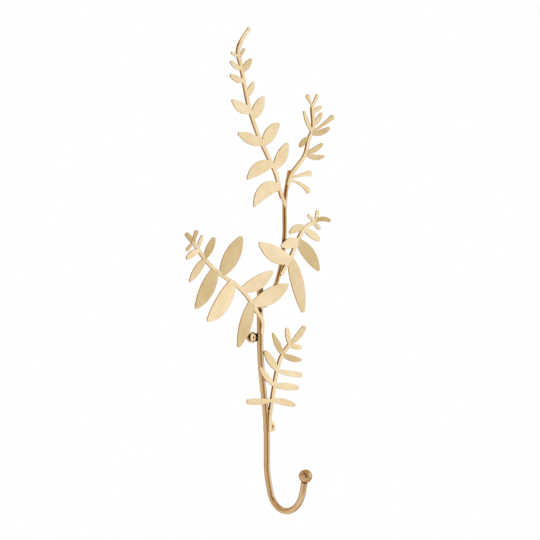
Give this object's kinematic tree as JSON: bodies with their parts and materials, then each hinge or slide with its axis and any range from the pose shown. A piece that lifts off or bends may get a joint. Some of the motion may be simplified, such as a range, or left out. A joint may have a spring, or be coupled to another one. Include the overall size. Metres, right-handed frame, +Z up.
{
  "type": "wall hook",
  "caption": "Tall satin brass wall hook: a round bar bent to a J with a ball end, held by screwed wall tabs and dressed with sprays of flat sheet leaves.",
  "frame": {"origin": "on the wall, midway between the two screws", "axes": "+Z up the wall, +Y into the wall, +X to the right of a person facing the hook"},
  "size_m": [0.183, 0.0761, 0.4568],
  "materials": {
    "leaf_sheet": "satin, finely grained pale gold",
    "bronzed_rod": "satin, slightly bronzed",
    "bright_screw": "bright"
  },
  "bodies": {
    "root": {"hook_stem": "bronzed_rod", "ball_tip": "bronzed_rod", "branch_rod": "bronzed_rod", "upper_wall_tab": "bronzed_rod", "lower_wall_tab": "bronzed_rod", "wall_screws": "bright_screw", "top_left_spray": "leaf_sheet", "top_left_wire": "bronzed_rod", "top_right_spray": "leaf_sheet", "top_right_wire": "bronzed_rod", "mid_left_spray": "leaf_sheet", "mid_left_wire": "bronzed_rod", "mid_right_spray": "leaf_sheet", "mid_right_wire": "bronzed_rod", "fern_spray": "leaf_sheet", "fern_wire": "bronzed_rod"}
  },
  "joints": []
}
